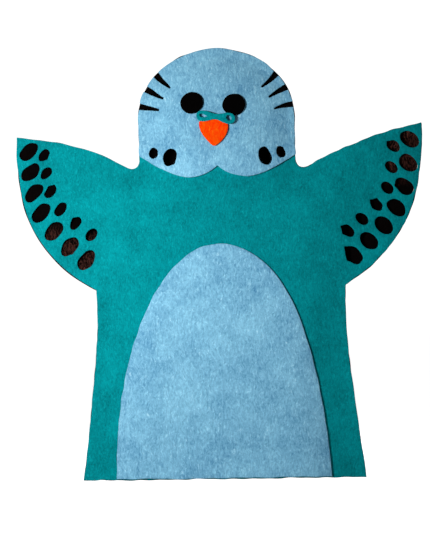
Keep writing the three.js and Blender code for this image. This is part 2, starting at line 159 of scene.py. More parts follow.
def bezier(*pulls, steps=200):
    """A Bezier curve: the points are blended in neighbouring pairs, a + (b - a) t, until one is left."""
    t = np.linspace(0, 1, steps)[:, None]
    points = [np.asarray(pull, float) + 0 * t for pull in pulls]
    while len(points) > 1:
        points = [a + (b - a) * t for a, b in zip(points, points[1:])]
    return points[0]


def arc(centre, radii, start, end, steps=240):
    """Part of an ellipse: centre + (width cos a, height sin a), with a from start to end in degrees."""
    angle = np.radians(np.linspace(start, end, steps))
    return np.asarray(centre) + np.column_stack([np.cos(angle), np.sin(angle)]) * radii


def spaced(curve, spacing):
    """The same curve in near equal steps: its length is summed up and read off at even lengths."""
    steps = np.linalg.norm(np.diff(curve, axis=0), axis=1)
    along = np.concatenate([[0], np.cumsum(steps)])
    count = max(2, int(np.ceil(along[-1] / spacing)) + 1)
    places = np.linspace(0, along[-1], count)
    return np.column_stack([np.interp(places, along, curve[:, k]) for k in (0, 1)])


def cut_at(curve, point, across):
    """The curve in two, where its distance to the line through the point changes sign."""
    side = (curve - point) @ across
    i = np.flatnonzero(np.sign(side[:-1]) != np.sign(side[1:]))[0]
    meet = curve[i] + (curve[i + 1] - curve[i]) * side[i] / (side[i] - side[i + 1])
    return np.vstack([curve[: i + 1], meet]), np.vstack([meet, curve[i + 1 :]])


def smooth(t):
    """A soft step from 0 to 1: t squared times (3 - 2 t), with t held between 0 and 1."""
    t = np.clip(t, 0, 1)
    return t * t * (3 - 2 * t)


quarter = spaced(arc((0, 0), (1, 1), 0, 90), 0.1)
print("a quarter circle of radius 1 in steps of at most 0.1:", len(quarter) - 1, "steps")

# %% The right half of the outline
WAIST = np.array([70.3, 95.0]) * MM
ARMPIT = np.array([70.3, 108.3]) * MM
WING_START = np.array([HEAD_HALF + 7.2 * MM, NECK_Z + 1.0 * MM])
NOTCH_TOP = np.array([HEAD_HALF, NECK_Z + 4.2 * MM])
DOME_HEIGHT = 39.2 * MM
DOME_MIDDLE = np.array([0, HEAD_TOP - DOME_HEIGHT])

half = {
    "hem": bezier((0, 0), (HEM_HALF, 0)),
    "flare": bezier((HEM_HALF, 0), WAIST - [0, 25 * MM], WAIST),
    "side": bezier(WAIST, ARMPIT),
    "wing_edge": bezier(
        ARMPIT,
        ARMPIT + np.array([36.7, 21.7]) * MM,
        WING_TIP + np.array([1.8, -31.2]) * MM,
        WING_TIP,
    ),
    "wing_top": bezier(WING_TIP, WING_TIP - np.array([39.3, 6.8]) * MM, WING_START),
    "notch": bezier(WING_START, (HEAD_HALF + 1.2 * MM, NECK_Z - 2.0 * MM), NOTCH_TOP),
    "head_side": bezier(NOTCH_TOP, (HEAD_HALF, DOME_MIDDLE[1])),
    "dome": arc(DOME_MIDDLE, (HEAD_HALF, DOME_HEIGHT), 0, 90),
}
seam_path = np.vstack([spaced(half[n], 2.5 * MM) for n in list(half)[1:]])
print("seam on one side in mm:", round(np.linalg.norm(np.diff(seam_path, axis=0), axis=1).sum() / MM))

# %% [markdown]
# ## Cut by hand
# Scissors leave an outline that wanders by a quarter of a millimetre and a puppet whose wings aren't
# quite level. Moving every outline point by the same soft pattern keeps neighbouring pieces together,
# which random steps along each edge wouldn't.
# %% Hand-cut outlines
WING_SEED = {"front": 3, "back": 11}
HAND_CUT = 0.22 * MM  # how far an edge wanders
WING_LIFT = {-1: -2.9 * MM, 1: 2.4 * MM}  # how much higher each tip ends up
SLANT = -0.008  # every level line falls this much to the right
LEAN = -0.45 * MM  # how far the face sits to the right of the middle
BACK_DROP = 0.8 * MM  # how far the back panel hangs out below the wings
FULLER_BELOW = np.array([0.8, -0.9]) * MM  # how the right wing's lower edge bulges, out and up
FULLER_ABOVE = 1.3 * MM  # how far the left wing's upper edge rises
TIP_IN = 1.4 * MM  # how far the left tip is drawn in


def bump(t):
    """A soft hill: the sine of half a turn from t = 0 to t = 1, and 0 outside."""
    return np.sin(np.pi * np.clip(t, 0, 1))


def cut_by_hand(points, seed, amount=HAND_CUT):
    """Each point moves by a sum of sine waves that run across the sheet in random directions, and by
    how the whole pattern was drawn: slanting, with one wing fuller below and the other above. Soft
    steps in x and z say where on the puppet each of those habits holds."""
    rng = np.random.default_rng(seed)
    x, z = np.asarray(points, float).T
    wanders = np.zeros((len(x), 2))
    for wavelength in np.array([9, 15, 26, 44]) * MM:
        angle, *phases = rng.uniform(0, 2 * np.pi, 3)
        travel = (np.cos(angle) * x + np.sin(angle) * z) * 2 * np.pi / wavelength
        wanders += amount / 2 * np.column_stack([np.sin(travel + p) for p in phases])
    out = np.abs(x)
    on_head = (1 - smooth((out - 46 * MM) / (14 * MM))) * smooth((z - 155 * MM) / (15 * MM))
    across = LEAN * on_head * (1 - 1.5 * smooth((z - 215 * MM) / (28 * MM)))
    winged = smooth((z - 50 * MM) / (45 * MM))
    lift = np.where(x < 0, WING_LIFT[-1], WING_LIFT[1]) * smooth((out - 50 * MM) / (65 * MM))
    up = SLANT * x + lift * winged
    fuller_below = bump((z - 106 * MM) / (72 * MM)) * smooth((x - 68 * MM) / (14 * MM))
    fuller_above = bump((-x - 58 * MM) / (56 * MM)) * smooth((z - 145 * MM) / (20 * MM))
    tip_in = smooth((z - 145 * MM) / (35 * MM)) * smooth((-x - 85 * MM) / (25 * MM))
    across = across + FULLER_BELOW[0] * fuller_below + TIP_IN * tip_in
    up = up + FULLER_BELOW[1] * fuller_below + FULLER_ABOVE * fuller_above
    if seed == WING_SEED["back"]:
        up = up - BACK_DROP * winged * smooth((out - 62 * MM) / (20 * MM)) * np.where(x < 0, 1, 0.5)
    return np.column_stack([x + across, z + up]) + wanders


def mirrored(points):
    """The same stretch on the left side, in the opposite order."""
    return (np.asarray(points) * [-1, 1])[::-1]


moved = cut_by_hand(seam_path, WING_SEED["front"]) - seam_path
print("the cuts leave the pattern by up to", round(np.abs(moved).max() / MM, 1), "mm")

# %% [markdown]
# ## The pocket
# The panels touch at the seam and part inside it to make room for a hand. How far they part depends
# only on the distance to the seam, so both panels and everything on them follow one function. A cloth
# simulation could blow the pocket up, but felt this stiff keeps such an even shape by itself.
# %% Shape of the pocket
SEAM_FLAT = 4 * MM  # how far in from the seam the panels still touch
POCKET_EASE = 34 * MM  # over what distance they part
WING_SHUT = np.array([45, 95]) * MM  # from where to where along a wing the pocket closes
LIE_LOW = 0.35 * MM  # how deep the felt's own waves are


def seam_distance(x, z):
    """The shortest distance to the seam: each point is dropped onto every step of the seam's path."""
    start, end = seam_path[:-1], seam_path[1:]
    step = end - start
    step[np.abs(step).sum(1) == 0] = 1e-9
    px, pz = np.abs(x)[:, None] - start[:, 0], np.maximum(z, 1 * MM)[:, None] - start[:, 1]
    share = np.clip((px * step[:, 0] + pz * step[:, 1]) / (step**2).sum(1), 0, 1)
    return np.sqrt((px - share * step[:, 0]) ** 2 + (pz - share * step[:, 1]) ** 2).min(1)


def half_gap(x, z, side):
    """Half the pocket: the seam's half gap, plus the swell 1 - (1 - d)^2 over the distance d from the
    seam, less along the wings. Gentle waves of a third of a millimetre keep the felt from lying flat."""
    swell = 1 - (1 - np.clip((seam_distance(x, z) - SEAM_FLAT) / POCKET_EASE, 0, 1)) ** 2
    fade = 1 - smooth((np.abs(x) - WING_SHUT[0]) / (WING_SHUT[1] - WING_SHUT[0]))
    wave = np.sin(x / (7.1 * MM) + 1.1 * side) * np.sin(z / (8.3 * MM) + 2.3)
    wave += np.sin((x + z) / (5.2 * MM) + 0.4 * side)
    return SEAM_HALF_GAP + (POCKET_HALF * fade - LIE_LOW / 2 * (1 - wave / 2)) * swell


def head_lift(z):
    """The head panel starts on top of the teal felt and settles onto the black felt above it."""
    return LAYER * (1 - smooth((z - NECK_Z - 10 * MM) / (12 * MM)))


chest = half_gap(np.zeros(1), np.array([NECK_Z / 2]), -1)[0]
print("half the pocket at the chest in mm:", round(chest / MM, 2))

# %% [markdown]
# ## A sheet of felt
# A cut sheet is its outline swept along a small rounded profile, with the front and the back filled
# in. Extruding and bevelling a flat curve would give the same edge, but a curve can't follow the
# pocket. So the fill is a triangulation with points inside the outline, and each point is then moved
# to its height. Where a sheet goes on as another piece past a bend, its edge stays square.
# %% Outlines with their cut edges and joins
EDGE_STEP = 0.8 * MM
EDGE_ROUND = 0.32 * MM
FILL_STEP = 2.4 * MM


def outline(*stretches, seed, step=EDGE_STEP, amount=HAND_CUT):
    """Joins (curve, is_cut) stretches into a closed loop: its points, and whether each step is a cut."""
    points, cuts = [], []
    for curve, is_cut in stretches:
        part = spaced(curve, step)
        points.append(part[:-1])
        cuts += [is_cut] * (len(part) - 1)
    return cut_by_hand(np.vstack(points), seed, amount), np.array(cuts)


def closed(curve, seed, step=EDGE_STEP, amount=HAND_CUT):
    """A loop that is cut all the way round."""
    return outline((np.vstack([curve, curve[:1]]), True), seed=seed, step=step, amount=amount)


def signed_area(points):
    """Half the sum of the cross products of neighbouring points: above zero if they run anticlockwise."""
    x, z = points.T
    return 0.5 * (x * np.roll(z, -1) - z * np.roll(x, -1)).sum()


def inward(points, cuts):
    """The way from the edge into the felt: the bisector of the two steps at a point, or along the join
    where a cut edge meets one, and none inside a join. It shrinks near the ends of a join, where the
    felt comes to a thin point."""
    ahead = np.roll(points, -1, 0) - points
    ahead /= np.linalg.norm(ahead, axis=1, keepdims=True)
    behind = np.roll(ahead, 1, 0)
    left = np.column_stack([-ahead[:, 1], ahead[:, 0]])
    left_behind = np.roll(left, 1, 0)
    dot = (left * left_behind).sum(1, keepdims=True)
    way = (left + left_behind) / np.maximum(1 + dot, 0.5)
    cut_behind = np.roll(cuts, 1)
    into = ahead / np.maximum((ahead * left_behind).sum(1, keepdims=True), 0.6)
    back = -behind / np.maximum((-behind * left).sum(1, keepdims=True), 0.6)
    way = np.where((cut_behind & ~cuts)[:, None], into, way)
    way = np.where((~cut_behind & cuts)[:, None], back, way)
    way = np.where((~cut_behind & ~cuts)[:, None], 0, way)
    ends = points[cut_behind != cuts]
    if len(ends):
        nearest = np.linalg.norm(points[:, None] - ends[None], axis=2).min(1)
        way = way * np.clip(nearest / (2.4 * MM), 0.25, 1)[:, None]
    return way


half_area = signed_area(np.vstack([[0, 0], seam_path]))
print("area inside one half of the outline in cm2:", round(half_area * 1e4, 1))

# %% [markdown]
# ### Filling the outline
# Blender's own fill makes long thin triangles, which crease where the felt curves. Points in offset
# rows, as in a honeycomb, joined by a Delaunay triangulation give near equal triangles instead.
# %% Fill an outline with even triangles
ROW_STEP = 0.866  # the height of a triangle with three sides of 1
CHUNK = 1500  # points compared with the outline at a time, to save memory


def are_inside(points, loops):
    """Whether each point is inside: a line to its right crosses the loops an odd number of times."""
    start = np.vstack(loops)
    end = np.vstack([np.roll(loop, -1, 0) for loop in loops])
    found = []
    for chunk in np.array_split(points, max(1, len(points) // CHUNK)):
        x, z = chunk[:, :1], chunk[:, 1:]
        spans = (start[:, 1] > z) != (end[:, 1] > z)
        rise = np.where(end[:, 1] == start[:, 1], 1, end[:, 1] - start[:, 1])
        crossing = start[:, 0] + (z - start[:, 1]) * (end[:, 0] - start[:, 0]) / rise
        found.append((spans & (x < crossing)).sum(1) % 2 == 1)
    return np.concatenate(found)


def fill(loops, step):
    """Points in offset rows inside the loops, and the triangles over them and over the loops."""
    ring = np.vstack(loops)
    low, high = ring.min(0), ring.max(0)
    rows = np.arange(low[1] + step / 2, high[1], step * ROW_STEP)
    columns = np.arange(low[0], high[0], step)
    x, z = np.meshgrid(columns, rows)
    x = x + np.where(np.arange(len(rows))[:, None] % 2, step / 2, 0)
    points = np.column_stack([x.ravel(), z.ravel()])
    points = points[are_inside(points, loops)] if len(points) else points
    parts = np.array_split(points, max(1, len(points) // CHUNK))
    gaps = [((p[:, None] - ring[None]) ** 2).sum(2).min(1) for p in parts if len(p)]
    points = points[np.concatenate(gaps) > (0.55 * step) ** 2] if gaps else points
    steps, first = [], 0
    for loop in loops:
        index = first + np.arange(len(loop))
        steps.append(np.column_stack([index, np.roll(index, -1)]))
        first += len(loop)
    everything = np.vstack([ring, points])
    found = delaunay_2d_cdt((everything / MM).tolist(), np.vstack(steps).tolist(), [], 0, 1e-7)
    assert len(found[0]) == len(everything), "an outline crosses itself"
    triangles = np.array(found[2])
    middles = everything[triangles].mean(1)
    return points, triangles[are_inside(middles, loops)]


disc = arc((0, 0), (10 * MM, 10 * MM), 0, 360, steps=60)[:-1]
print("triangles in a disc of 20 mm:", len(fill([disc], FILL_STEP)[1]))

# %% [markdown]
# ### Building the sheet
# The rings of the cut edge run from the front round to the back: a quarter circle in, a straight
# side, and a quarter circle out. The same fill closes the front and, turned over, the back.
# %% A mesh from arrays


def mesh_object(name, vertices, faces, material, flat_faces=()):
    """A mesh object at the origin, with every point already in its place. Flat faces are four-sided
    ones with sharp edges, so that they don't tilt the soft shading beside them."""
    mesh = bpy.data.meshes.new(name)
    mesh.from_pydata(vertices.tolist(), [], faces)
    is_smooth = np.ones(len(faces), bool)
    if flat_faces:
        is_smooth[flat_faces] = False
    mesh.polygons.foreach_set("use_smooth", is_smooth)
    mesh.materials.append(material)
    mesh.update()
    if flat_faces:
        starts, edges = np.zeros(len(faces), int), np.zeros(len(mesh.loops), int)
        mesh.polygons.foreach_get("loop_start", starts)
        mesh.loops.foreach_get("edge_index", edges)
        is_sharp = np.zeros(len(mesh.edges), bool)
        is_sharp[edges[starts[flat_faces][:, None] + np.arange(4)]] = True
        mesh.edges.foreach_set("use_edge_sharp", is_sharp)
    piece = bpy.data.objects.new(name, mesh)
    bpy.context.scene.collection.objects.link(piece)
    return piece


def felt_sheet(name, loops, face, layer, material, step=FILL_STEP, edge=EDGE_ROUND):
    """A sheet cut along the loops. `face` is -1 in front of the pocket and 1 behind it, and `layer`
    gives how far from the pocket its inner side lies. The edge is a quarter circle on each side:
    inset = r (1 - sin a), depth = r (1 - cos a)."""
    ordered = []  # the outline anticlockwise and each hole clockwise
    for k, (points, cuts) in enumerate(loops):
        wanted = 1 if k == 0 else -1
        if signed_area(points) * wanted < 0:
            points, cuts = points[::-1], np.roll(cuts[::-1], -1)
        ordered.append((points, cuts))
    ways = [inward(points, cuts) for points, cuts in ordered]
    ring = np.vstack([points for points, cuts in ordered])
    way = np.vstack(ways)
    angles = np.radians([0, 35, 65, 90])
    insets, depths = edge * (1 - np.sin(angles)), edge * (1 - np.cos(angles))
    inset_loops = [points + w * insets[0] for (points, cuts), w in zip(ordered, ways)]
    inner_points, triangles = fill(inset_loops, step)

    def heights(points):
        x, z = points.T
        near = half_gap(x, z, face) + layer(x, z)
        return (-near - FELT, -near) if face < 0 else (near, near + FELT)

    rings = []
    for inset, depth in zip(insets, depths):
        plan = ring + way * inset
        rings.append(np.column_stack([plan[:, 0], heights(plan)[0] + depth, plan[:, 1]]))
    for inset, depth in zip(insets[::-1], depths[::-1]):
        plan = ring + way * inset
        rings.append(np.column_stack([plan[:, 0], heights(plan)[1] - depth, plan[:, 1]]))
    sides = heights(inner_points) if len(inner_points) else (np.zeros(0), np.zeros(0))
    inner = [np.column_stack([inner_points[:, 0], y, inner_points[:, 1]]) for y in sides]
    vertices = np.vstack([*rings, *inner])

    count, inside = len(ring), len(inner_points)
    last = (len(rings) - 1) * count
    front = np.where(triangles < count, triangles, triangles + last)
    back = np.where(triangles < count, triangles + last, triangles + last + inside)
    faces = front.tolist() + back[:, ::-1].tolist()
    flat = []
    first = 0
    for points, cuts in ordered:
        here = first + np.arange(len(points))
        there = np.roll(here, -1)
        for k in range(len(rings) - 1):
            near, far = k * count, (k + 1) * count
            flat += (len(faces) + np.flatnonzero(~cuts)).tolist()
            faces += np.column_stack([here + near, here + far, there + far, there + near]).tolist()
        first += len(points)
    return mesh_object(name, vertices, faces, material, flat)


print("felt and the rounding of its edge in mm:", round(FELT / MM, 2), round(EDGE_ROUND / MM, 2))

# %% [markdown]
# ## Felt to look at
# Craft felt is a mat of short fibres. From a hand's width away it shows soft clouds where the mat is
# thicker, a fine swirl of fibre bundles, and pale single fibres that catch the light. A woven pattern
# or an image would repeat, so three sizes of noise are layered instead, in one node group that every
# felt shares. A little sheen on the shader gives the bloom that loose fibres have at a flat angle.
# %% Nodes in few words


def socket(group, name, kind, is_input, value=None):
    """Adds a named input or output to a node group."""
    in_out = "INPUT" if is_input else "OUTPUT"
    made = group.interface.new_socket(name=name, in_out=in_out, socket_type=kind)
    if value is not None:
        made.default_value = value


def node(tree, kind, inputs=(), **settings):
    """Adds a node, sets it up and links or fills its inputs, given as (name or number, value) pairs."""
    made = tree.nodes.new(kind)
    for key, value in settings.items():
        setattr(made, key, value)
    for key, value in inputs:
        if isinstance(value, bpy.types.NodeSocket):
            tree.links.new(value, made.inputs[key])
        else:
            made.inputs[key].default_value = value
    return made


def maths(tree, operation, *values):
    """What comes out of a Math node over numbers or sockets."""
    return node(tree, "ShaderNodeMath", list(enumerate(values)), operation=operation).outputs[0]


def ramp(tree, value, low, high, to_low=0.0, to_high=1.0):
    """From to_low to to_high in a straight line while the value goes from low to high, level outside."""
    limits = [("From Min", low), ("From Max", high), ("To Min", to_low), ("To Max", to_high)]
    return node(tree, "ShaderNodeMapRange", [("Value", value), *limits]).outputs[0]

# %% Node group for felt


def felt_group():
    """Mottle, flecks and height of felt over a place in metres. The place is first pushed about by a
    broad noise, so that the fibres swirl, and then stretched one way for each of two fibre layers."""
    group = bpy.data.node_groups.new("felt fibres", "ShaderNodeTree")
    socket(group, "Place", "NodeSocketVector", True)
    socket(group, "Cloud Size", "NodeSocketFloat", True, 15 * MM)
    socket(group, "Bundle Size", "NodeSocketFloat", True, 2 * MM)
    socket(group, "Fleck Start", "NodeSocketFloat", True, 0.64)
    for name in ("Mottle", "Fleck", "Patch", "Height"):
        socket(group, name, "NodeSocketFloat", False)
    start = group.nodes.new("NodeGroupInput")
    end = group.nodes.new("NodeGroupOutput")
    place = start.outputs["Place"]

    def per(size, times=1.0):
        return maths(group, "DIVIDE", times, size)

    def noise(where, scale, detail, distortion=0.0, roughness=0.55):
        values = [("Vector", where), ("Scale", scale), ("Detail", detail)]
        values += [("Roughness", roughness), ("Distortion", distortion)]
        return node(group, "ShaderNodeTexNoise", values).outputs["Fac"]

    cloud = noise(place, per(start.outputs["Cloud Size"]), 3.0)
    bundles = noise(place, per(start.outputs["Bundle Size"]), 4.0, 1.2)
    push = node(group, "ShaderNodeTexNoise", [("Vector", place), ("Scale", 180.0), ("Detail", 2.0)])
    swirl_inputs = [(0, push.outputs["Color"]), ("Scale", 5 * MM)]
    swirl = node(group, "ShaderNodeVectorMath", swirl_inputs, operation="SCALE").outputs[0]
    moved = node(group, "ShaderNodeVectorMath", [(0, place), (1, swirl)], operation="ADD").outputs[0]
    layers = []
    for turn in (35, -50):
        mapping = node(group, "ShaderNodeMapping", [("Vector", moved),
                       ("Rotation", (0, np.radians(turn), 0)), ("Scale", (1, 1, 0.22))])
        layers.append(noise(mapping.outputs[0], per(start.outputs["Bundle Size"], 2.6), 3.0, 0.3, 0.6))
    fibres = maths(group, "MAXIMUM", *layers)
    fibre_share = ramp(group, fibres, 0.42, 0.72)
    cloud_share = ramp(group, cloud, 0.3, 0.7)
    bundle_share = ramp(group, bundles, 0.3, 0.7)

    def mixed(a, share_a, b, share_b):
        return maths(group, "MULTIPLY_ADD", b, share_b, maths(group, "MULTIPLY", a, share_a))

    clouds_and_bundles = mixed(cloud_share, 0.28 / 0.55, bundle_share, 0.27 / 0.55)
    mottle = mixed(fibre_share, 0.45, clouds_and_bundles, 0.55)
    full = maths(group, "ADD", start.outputs["Fleck Start"], 0.14)
    fleck = ramp(group, fibres, start.outputs["Fleck Start"], full)
    patch = ramp(group, cloud, 0.46, 0.58)
    height = mixed(fibre_share, 0.6, bundle_share, 0.4)
    group.links.new(mottle, end.inputs["Mottle"])
    group.links.new(fleck, end.inputs["Fleck"])
    group.links.new(patch, end.inputs["Patch"])
    group.links.new(height, end.inputs["Height"])
    return group


FIBRES = felt_group()
print("inputs and outputs of the felt group:", len(FIBRES.interface.items_tree))

# %% [markdown]
# ### Felt in four colours
# Each felt is dyed in the wool, so its fibres differ a little and the colour lies between a shade and
# a bright tone. On the black wing sheet, brown glints of light on the fibres are painted into the
# colour in patches, low on the left wing and high on the right one.
# %% Colours


def linear(red, green, blue):
    """A screen colour from 0 to 255 as the linear light that a shader needs."""
    share = np.array([red, green, blue]) / 255
    return np.where(share <= 0.04045, share / 12.92, ((share + 0.055) / 1.055) ** 2.4)


def colour_mix(tree, share, a, b):
    """A colour between a and b. The colour sockets of this node are its numbers 0, 6 and 7."""
    made = node(tree, "ShaderNodeMix", [(0, share)], data_type="RGBA")
    for key, value in ((6, a), (7, b)):
        if isinstance(value, bpy.types.NodeSocket):
            tree.links.new(value, made.inputs[key])
        else:
            made.inputs[key].default_value = value
    return made.outputs[2]


print("half as bright on a screen is", np.round(linear(128, 128, 128)[0], 2), "in linear light")

# %% Felt in four colours
PAINTED_GLINT_LEVEL = 155 * MM  # the height below which the left wing, and above which the right wing, gets painted glints


def felt(name, shade, bright, fleck, fleck_share=0.5, sheen=0.1, bundle=2 * MM, painted_glints=False):
    """Felt between two colours: the mottle mixes shade and bright, and flecks add single fibres. With
    painted glints, the flecks are painted light caught by the fibres, shown only where
    x * (z - painted glint level) is well above zero, and in patches."""
    material = bpy.data.materials.new(name)
    material.use_nodes = True
    tree = material.node_tree
    shader = tree.nodes["Principled BSDF"]
    shader.inputs["Roughness"].default_value = 0.95
    shader.inputs["Specular IOR Level"].default_value = 0.02
    shader.inputs["Sheen Weight"].default_value = sheen
    shader.inputs["Sheen Roughness"].default_value = 0.45
    shader.inputs["Sheen Tint"].default_value = (*linear(*bright), 1)
    place = node(tree, "ShaderNodeTexCoord").outputs["Object"]
    fibres = node(tree, "ShaderNodeGroup", node_tree=FIBRES)
    tree.links.new(place, fibres.inputs["Place"])
    fibres.inputs["Cloud Size"].default_value = 15 * MM
    fibres.inputs["Bundle Size"].default_value = bundle
    body = colour_mix(tree, fibres.outputs["Mottle"], (*linear(*shade), 1), (*linear(*bright), 1))
    share = maths(tree, "MULTIPLY", fibres.outputs["Fleck"], fleck_share)
    # painted highlight: brown flecks stand in for light caught by black fibres, low on the left wing and high
    # on the right
    if painted_glints:
        fibres.inputs["Fleck Start"].default_value = 0.5
        axes = node(tree, "ShaderNodeSeparateXYZ", [("Vector", place)])
        rise = maths(tree, "SUBTRACT", axes.outputs["Z"], PAINTED_GLINT_LEVEL)
        lit = ramp(tree, maths(tree, "MULTIPLY", rise, axes.outputs["X"]), 0.0008, 0.002)
        patch = ramp(tree, fibres.outputs["Patch"], 0.0, 1.0, 0.45, 1.0)
        share = maths(tree, "MULTIPLY", share, maths(tree, "MULTIPLY", lit, patch))
    top = colour_mix(tree, share, body, (*linear(*fleck), 1))
    tree.links.new(top, shader.inputs["Base Color"])
    bumps = node(tree, "ShaderNodeBump", [("Strength", 0.5), ("Distance", 0.25 * MM),
                 ("Height", fibres.outputs["Height"])])
    tree.links.new(bumps.outputs[0], shader.inputs["Normal"])
    return material


TEAL = felt("teal felt", (1, 99, 106), (5, 171, 179), (36, 196, 202), 0.35, bundle=1.7 * MM)
LIGHT_BLUE = felt("light blue felt", (62, 126, 170), (164, 230, 255), (218, 244, 255), 0.5, bundle=2.2 * MM)
BLACK = felt("black felt", (3, 2, 2), (12, 8, 8), (60, 40, 36), 0.4, sheen=0.02)
# the brown fleck colour of the black wing felt is a painted glint of light
WING_BLACK = felt("black wing felt", (3, 2, 2), (12, 7, 7), (112, 66, 56), 0.75, sheen=0.02, painted_glints=True)
EYE_BLACK = felt("eye black felt", (2, 1, 1), (4, 3, 3), (20, 16, 16), 0.3, sheen=0.0)
ORANGE = felt("orange felt", (255, 2, 1), (255, 112, 7), (255, 140, 30), 0.3, bundle=3.6 * MM)
felts = (TEAL, LIGHT_BLUE, BLACK, WING_BLACK, EYE_BLACK, ORANGE)
print("felts:", ", ".join(material.name for material in felts))

# %% [markdown]
# ## The front and the back panel
# Each real panel is one sheet. A piece can bend across one joint only, so each panel is cut where a
# bend starts: beside the root of each wing and under the head. The parts meet point for point on
# those lines, so at rest they look like one sheet.
# %% Lines where the panels bend


def at_root(offset, z):
    """The point at height z on the line beside a wing's root, offset towards the tip."""
    start = ROOT_MIDDLE + ROOT_OUT * offset
    return start + ROOT_UP * (z - start[1]) / ROOT_UP[1]


root_line = at_root(-BEND_HALF, NECK_Z)
below_root, above_root = cut_at(half["flare"], root_line, ROOT_OUT)
notch_low = half["notch"][:, 1].argmin()
notch_wing, notch_head = half["notch"][: notch_low + 1], half["notch"][notch_low:]
fork = at_root(-BEND_HALF, NECK_Z - 4.5 * MM)
neck_corner = at_root(-BEND_HALF, NECK_BEND[0])
side_cut = below_root[-1]
print("wing bends from", np.round(side_cut / MM, 1), "to", np.round(notch_wing[-1] / MM, 1), "mm")

torso_right = [
    (half["hem"], True),
    (below_root, True),
    (bezier(side_cut, neck_corner), False),
]
wing_right = [
    (above_root, True),
    (half["side"], True),
    (half["wing_edge"], True),
    (half["wing_top"], True),
    (notch_wing, True),
    (bezier(notch_wing[-1], fork), False),
    (bezier(fork, neck_corner), False),
    (bezier(neck_corner, side_cut), False),
]
neck_right = [
    (bezier(neck_corner, fork), False),
    (bezier(fork, notch_wing[-1]), False),
    (notch_head, True),
]


def left_of(stretches):
    """The same stretches on the left side, in the opposite order."""
    return [(mirrored(curve), is_cut) for curve, is_cut in stretches[::-1]]


torso_plan = [*torso_right, (bezier(neck_corner, neck_corner * [-1, 1]), False), *left_of(torso_right)]
neck_base = [(bezier(neck_corner * [-1, 1], neck_corner), False)]

print("stretches round the torso:", len(torso_plan))

# %% [markdown]
# ### Where the head covers the body
# The teal panel ends a little above the cheeks, hidden under the head panel, and the black one goes on
# to the crown. One curve gives both the cheek's edge and, raised by the overlap, the teal edge.
# %% The cheek's edge and the teal edge under it
CHEEK_LOW = np.array([16.5 * MM, head_low[2]])
CHEEK_CORNER = np.array([HEAD_HALF, NECK_Z + 7.3 * MM])
CHEEK_OVERLAP = 2.5 * MM


def cheek_edge(lift):
    """From the cleft in the middle down round the cheek and up to the head's side, raised by lift."""
    cleft = np.array([0, NECK_Z + 1.6 * MM])
    inner = bezier(cleft, CHEEK_LOW + np.array([-9.6, 0.3]) * MM, CHEEK_LOW)
    outer = bezier(CHEEK_LOW, CHEEK_LOW + np.array([11, 1.2]) * MM, CHEEK_CORNER)
    return np.vstack([inner[:-1], outer]) + [0, lift]


cheek_top = CHEEK_CORNER + [0, CHEEK_OVERLAP]
head_side_low = cut_at(half["head_side"], cheek_top, np.array([0, 1]))[0]
teal_neck = [*neck_right, (head_side_low, True)]
teal_top = [(cheek_edge(CHEEK_OVERLAP)[::-1], True), (mirrored(cheek_edge(CHEEK_OVERLAP)[::-1]), True)]
teal_neck_plan = [*neck_base, *teal_neck, *teal_top, *left_of(teal_neck)]
black_head = [*neck_right, (half["head_side"], True), (half["dome"], True)]
black_head_plan = [*neck_base, *black_head, *left_of(black_head)]
print("cheeks reach down to", round(CHEEK_LOW[1] / MM, 1), "mm")

# %% [markdown]
# ## Spots on the wings
# Two rows of oval holes follow each wing's lower edge, large ones outside and small ones inside. They
# were snipped by hand, so each is a little different and some have a corner where the scissors
# turned. A hole is an ellipse whose radius swells and shrinks a little, with a narrow peak for a corner.
# %% One hole cut with scissors


def snipped(centre, long, short, tilt, seed, nicks=()):
    """An oval hole: the radius is that of an ellipse, times 1 + a few soft waves + a peak at each nick."""
    rng = np.random.default_rng(seed)
    count = int(np.ceil(2 * np.pi * (long + short) / 2 / (0.55 * MM)))
    angle = np.linspace(0, 2 * np.pi, count, endpoint=False)
    swell = 1 + sum(rng.normal(0, 0.014) * np.cos(k * angle + rng.uniform(0, 6.28)) for k in (2, 3, 5))
    for where in nicks:
        away = np.angle(np.exp(1j * (angle - np.radians(where - tilt))))
        swell = swell + 0.16 * np.exp(-((away / 0.2) ** 2))
    oval = np.column_stack([long * np.cos(angle), short * np.sin(angle)]) * swell[:, None]
    turn = np.radians(tilt)
    return oval @ np.array([[np.cos(turn), np.sin(turn)], [-np.sin(turn), np.cos(turn)]]) + centre

# %% Rows of holes


def spot_row(size, count, first, step, inset_tip, inset_armpit, slide=0.0):
    """Centres and tilts of a row: the wing's edge is walked from the tip in equal steps, and each centre
    lies inside it by an inset that grows towards the armpit. The middle of the row slides along."""
    edge = spaced(half["wing_edge"][::-1], 0.5 * MM)
    lengths = np.concatenate([[0], np.cumsum(np.linalg.norm(np.diff(edge, axis=0), axis=1))])
    along = first + step * np.arange(count)
    along = along + slide * bump((np.arange(count) + 0.5) / count)
    here = np.column_stack([np.interp(along, lengths, edge[:, k]) for k in (0, 1)])
    ahead = np.column_stack([np.interp(along + MM, lengths, edge[:, k]) for k in (0, 1)]) - here
    ahead /= np.linalg.norm(ahead, axis=1, keepdims=True)
    turn = smooth((along - 36 * MM) / (48 * MM))
    inset = inset_tip + (inset_armpit - inset_tip) * turn
    centres = here + np.column_stack([ahead[:, 1], -ahead[:, 0]]) * inset[:, None]
    tilts = 36 + 22 * (along / lengths[-1]) ** 2
    return [(centre, *size, 180 - tilt) for centre, tilt in zip(centres, tilts)]


